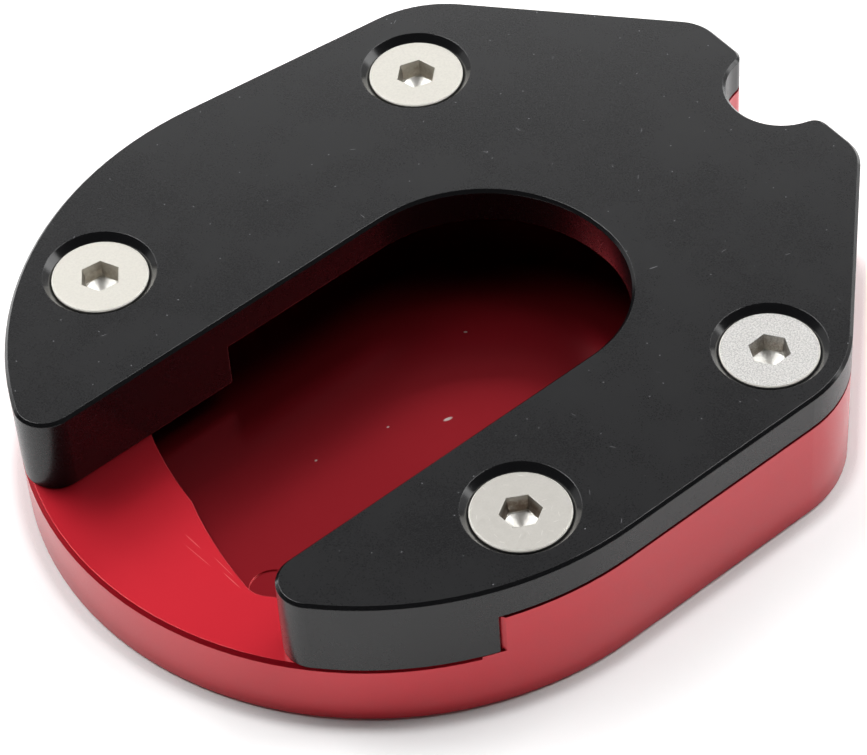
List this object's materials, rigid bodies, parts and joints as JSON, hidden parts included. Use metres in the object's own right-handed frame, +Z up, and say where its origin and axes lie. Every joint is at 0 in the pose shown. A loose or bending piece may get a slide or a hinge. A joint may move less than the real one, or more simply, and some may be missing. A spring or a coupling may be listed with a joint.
{
  "type": "kickstand foot enlarger",
  "caption": "Kickstand foot pad: a red base plate with a pocket and a slotted black clamp plate, held by countersunk socket screws, that widens a side stand's footprint on soft ground.",
  "frame": {"origin": "on the ground under the middle of the outline's length and width", "axes": "+X from the round front end to the notched back edge, +Z up from the ground"},
  "size_m": [0.108, 0.09, 0.0206],
  "materials": {
    "red_anodised": "red anodised, satin milled",
    "black_anodised": "black anodised, satin",
    "stainless": "turned stainless"
  },
  "bodies": {
    "root": {"base_plate": "red_anodised", "clamp_plate": "black_anodised", "clamp_screws": "stainless"}
  },
  "joints": []
}
